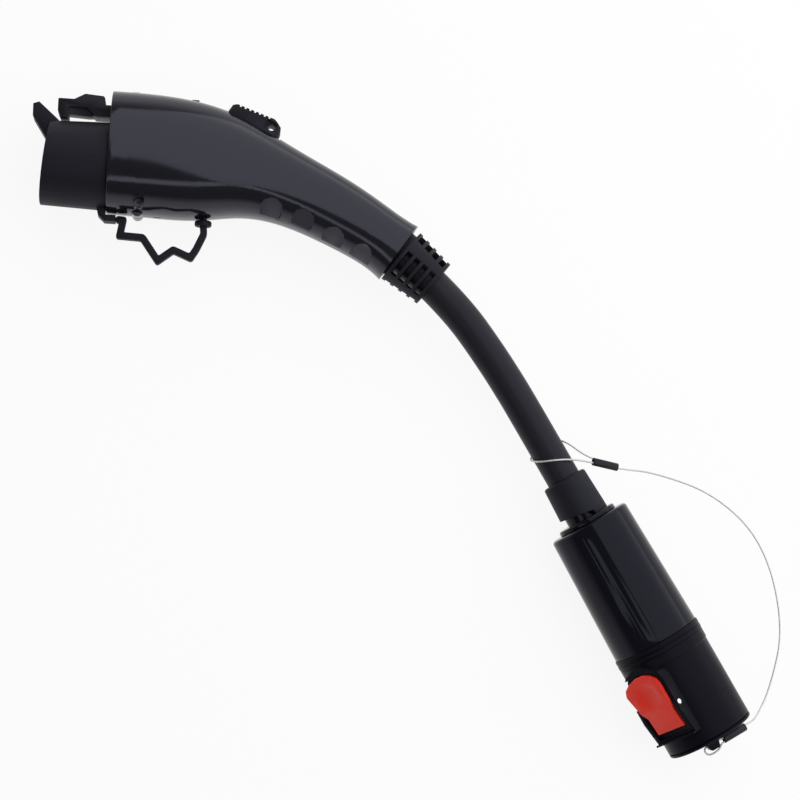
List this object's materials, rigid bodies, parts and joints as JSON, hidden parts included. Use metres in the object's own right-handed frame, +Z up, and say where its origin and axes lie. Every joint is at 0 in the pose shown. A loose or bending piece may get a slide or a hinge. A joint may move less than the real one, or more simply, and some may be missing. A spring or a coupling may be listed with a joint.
{
  "type": "electric vehicle charging adapter",
  "caption": "Pistol-grip charging plug with latch and dust cap, joined by a short thick cable to a round capped socket with a red release lever and a wire lanyard.",
  "frame": {"origin": "centre of the plug nose's front face", "axes": "X from the nose into the handle, Y to the thumb side, Z up from the floor the adapter lies on"},
  "size_m": [0.4439, 0.3598, 0.0557],
  "materials": {
    "handle_plastic": "satin black moulding",
    "nose_plastic": "matte black moulding",
    "contact_metal": "silver plated",
    "cap_rubber": "matte",
    "black_trim": "matte",
    "steel": "bright zinc",
    "cable_jacket": "smooth satin jacket",
    "gloss_black": "polished",
    "socket_plastic": "satin",
    "red_plastic": "satin red moulding",
    "seal_rubber": "matte",
    "rope_steel": "clear coated wire rope"
  },
  "bodies": {
    "adapter": {"handle_shell_near": "handle_plastic", "handle_shell_far": "handle_plastic", "nose_shell": "nose_plastic", "contact_carrier": "nose_plastic", "socket_insert": "nose_plastic", "micro_switch": "nose_plastic", "cable_clamp": "nose_plastic", "contact_l1": "contact_metal", "contact_l2": "contact_metal", "contact_earth": "contact_metal", "contact_pilot": "contact_metal", "contact_proximity": "contact_metal", "socket_pin_l1": "contact_metal", "socket_pin_l2": "contact_metal", "socket_pin_earth": "contact_metal", "socket_pin_pilot": "contact_metal", "socket_pin_proximity": "contact_metal", "cable_boot": "cap_rubber", "cable_sleeve": "cap_rubber", "strap_stud": "black_trim", "crimp_sleeve_cable": "black_trim", "latch_pivot_pin": "steel", "latch_spring": "steel", "shell_screws": "steel", "lever_pin": "steel", "lever_spring": "steel", "main_cable": "cable_jacket", "gland_neck": "gloss_black", "gland_disc": "gloss_black", "socket_barrel": "gloss_black", "coupling_ring": "gloss_black", "socket_housing": "socket_plastic", "lanyard_rope": "rope_steel"},
    "latch": {"latch_lever": "nose_plastic", "thumb_pad": "cap_rubber"},
    "plunger": {"switch_plunger": "black_trim"},
    "dust_cap": {"nose_cap": "cap_rubber", "nose_cap_strap": "cap_rubber"},
    "release_lever": {"lock_lever": "red_plastic"},
    "end_cap": {"socket_cap": "socket_plastic", "cap_seal": "seal_rubber", "crimp_sleeve_cap": "black_trim"}
  },
  "joints": [
    {"name": "latch_pivot", "type": "hinge", "parent": "adapter", "child": "latch", "pos_m": [0.07, 0.0285, 0], "axis": [0, 0, -1], "range_deg": [0, 4], "stiffness_Nm_per_rad": 2, "springref_deg": -5.73, "deforming": ["latch_spring"]},
    {"name": "plunger_slide", "type": "slide", "parent": "adapter", "child": "plunger", "axis": [0, -1, 0], "range_m": [0, 0.0012]},
    {"name": "dust_cap_pull", "type": "slide", "parent": "adapter", "child": "dust_cap", "axis": [-1, 0, 0], "range_m": [0, 0.033], "deforming": ["nose_cap_strap"]},
    {"name": "release_lever_pivot", "type": "hinge", "parent": "adapter", "child": "release_lever", "pos_m": [0.35376, -0.28852, 0.01379], "axis": [-0.5198, -0.3299, -0.788], "range_deg": [0, 5], "stiffness_Nm_per_rad": 0.5, "springref_deg": -5.73, "deforming": ["lever_spring"]},
    {"name": "end_cap_pull", "type": "slide", "parent": "adapter", "child": "end_cap", "axis": [0.5358, -0.8443, 0], "range_m": [0, 0.03], "deforming": ["lanyard_rope"]}
  ],
  "couplings": [
    {"joint": "plunger_slide", "follows": "latch_pivot", "m_per_rad": 0.015}
  ]
}
